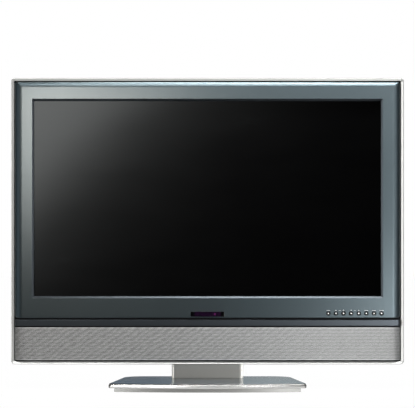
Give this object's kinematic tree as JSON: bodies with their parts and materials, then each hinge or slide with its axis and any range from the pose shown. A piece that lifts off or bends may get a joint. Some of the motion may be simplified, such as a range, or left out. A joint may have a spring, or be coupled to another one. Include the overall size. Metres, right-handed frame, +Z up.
{
  "type": "flat screen television",
  "caption": "Widescreen flat television with a charcoal bezel, a silver surround, a perforated speaker strip and chrome keys, on a short neck and a turning gloss base.",
  "frame": {"origin": "on the floor under the middle of the stand's base", "axes": "+Z up, the screen faces -Y, +X to the viewer's right"},
  "size_m": [0.7908, 0.24, 0.6257],
  "materials": {
    "bezel_paint": "satin charcoal metallic paint",
    "accent_paint": "glossy dark grey paint",
    "silver_paint": "satin silver paint",
    "grille_paint": "satin grey paint on perforated sheet",
    "screen_glass": "dark panel glass with a soft anti-glare face",
    "key_chrome": "polished plating",
    "window_tint": "dark purple tinted plastic",
    "neck_paint": "satin warm grey paint",
    "base_gloss": "glossy blue-grey",
    "plinth_paint": "satin grey paint",
    "foot_rubber": "matt",
    "back_plastic": "fine-grained",
    "inlet_plastic": "fine-grained",
    "white_plastic": "matt",
    "lamp_glass": "frosted",
    "sheet_steel": "zinc-plated",
    "socket_metal": "nickel-plated",
    "jack_plastic": "smooth",
    "spacer_brass": "turned",
    "board_green": "solder mask",
    "board_tan": "solder mask",
    "basket_paint": "satin black",
    "cone_paper": "pressed paper"
  },
  "bodies": {
    "foot": {"plinth": "plinth_paint", "rubber_feet": "foot_rubber", "pivot_post": "sheet_steel", "pivot_cap_screw": "sheet_steel", "swivel_glide": "white_plastic"},
    "set": {"front_bezel": "bezel_paint", "accent_bar": "accent_paint", "silver_surround": "silver_paint", "base_rim": "silver_paint", "speaker_grille": "grille_paint", "panel_glass": "screen_glass", "ir_window": "window_tint", "neck_front_cover": "neck_paint", "neck_rear_cover": "neck_paint", "base_top_plate": "base_gloss", "rear_cover": "back_plastic", "speaker_baffle": "back_plastic", "mains_inlet": "inlet_plastic", "key_switches": "inlet_plastic", "diffuser_plate": "white_plastic", "lamp_holders": "white_plastic", "backlight_lamps": "lamp_glass", "panel_frame": "sheet_steel", "reflector_tray": "sheet_steel", "left_rail": "sheet_steel", "right_rail": "sheet_steel", "chassis_plate": "sheet_steel", "stand_bracket": "sheet_steel", "neck_column": "sheet_steel", "base_weight": "sheet_steel", "stop_pin": "sheet_steel", "mount_inserts": "sheet_steel", "column_screws": "sheet_steel", "stand_bolts": "sheet_steel", "cover_screws": "sheet_steel", "io_plate": "sheet_steel", "video_sockets": "sheet_steel", "antenna_socket": "socket_metal", "phono_jacks": "jack_plastic", "board_spacers": "spacer_brass", "ir_board": "board_green", "key_board": "board_green", "main_board": "board_green", "inverter_board": "board_green", "power_board": "board_tan", "left_speaker_frame": "basket_paint", "right_speaker_frame": "basket_paint", "left_speaker_cone": "cone_paper", "right_speaker_cone": "cone_paper"},
    "source_button": {"source_key": "key_chrome"},
    "volume_down_button": {"volume_down_key": "key_chrome"},
    "volume_up_button": {"volume_up_key": "key_chrome"},
    "channel_down_button": {"channel_down_key": "key_chrome"},
    "channel_up_button": {"channel_up_key": "key_chrome"},
    "menu_button": {"menu_key": "key_chrome"},
    "enter_button": {"enter_key": "key_chrome"},
    "power_button": {"power_key": "key_chrome"},
    "rocker": {"mains_rocker": "inlet_plastic"}
  },
  "joints": [
    {"name": "stand_swivel", "type": "hinge", "parent": "foot", "child": "set", "pos_m": [0, 0, 0.009], "axis": [0, 0, 1], "range_deg": [-20, 20]},
    {"name": "source_press", "type": "slide", "parent": "set", "child": "source_button", "axis": [0, 1, 0], "range_m": [0, 0.0008], "stiffness_N_per_m": 1000, "springref_m": -0.0008},
    {"name": "volume_down_press", "type": "slide", "parent": "set", "child": "volume_down_button", "axis": [0, 1, 0], "range_m": [0, 0.0008], "stiffness_N_per_m": 1000, "springref_m": -0.0008},
    {"name": "volume_up_press", "type": "slide", "parent": "set", "child": "volume_up_button", "axis": [0, 1, 0], "range_m": [0, 0.0008], "stiffness_N_per_m": 1000, "springref_m": -0.0008},
    {"name": "channel_down_press", "type": "slide", "parent": "set", "child": "channel_down_button", "axis": [0, 1, 0], "range_m": [0, 0.0008], "stiffness_N_per_m": 1000, "springref_m": -0.0008},
    {"name": "channel_up_press", "type": "slide", "parent": "set", "child": "channel_up_button", "axis": [0, 1, 0], "range_m": [0, 0.0008], "stiffness_N_per_m": 1000, "springref_m": -0.0008},
    {"name": "menu_press", "type": "slide", "parent": "set", "child": "menu_button", "axis": [0, 1, 0], "range_m": [0, 0.0008], "stiffness_N_per_m": 1000, "springref_m": -0.0008},
    {"name": "enter_press", "type": "slide", "parent": "set", "child": "enter_button", "axis": [0, 1, 0], "range_m": [0, 0.0008], "stiffness_N_per_m": 1000, "springref_m": -0.0008},
    {"name": "power_press", "type": "slide", "parent": "set", "child": "power_button", "axis": [0, 1, 0], "range_m": [0, 0.0008], "stiffness_N_per_m": 1000, "springref_m": -0.0008},
    {"name": "mains_rocker_swing", "type": "hinge", "parent": "set", "child": "rocker", "pos_m": [0.2493, 0.0978, 0.1372], "axis": [1, 0, 0], "range_deg": [-16, 0]}
  ]
}
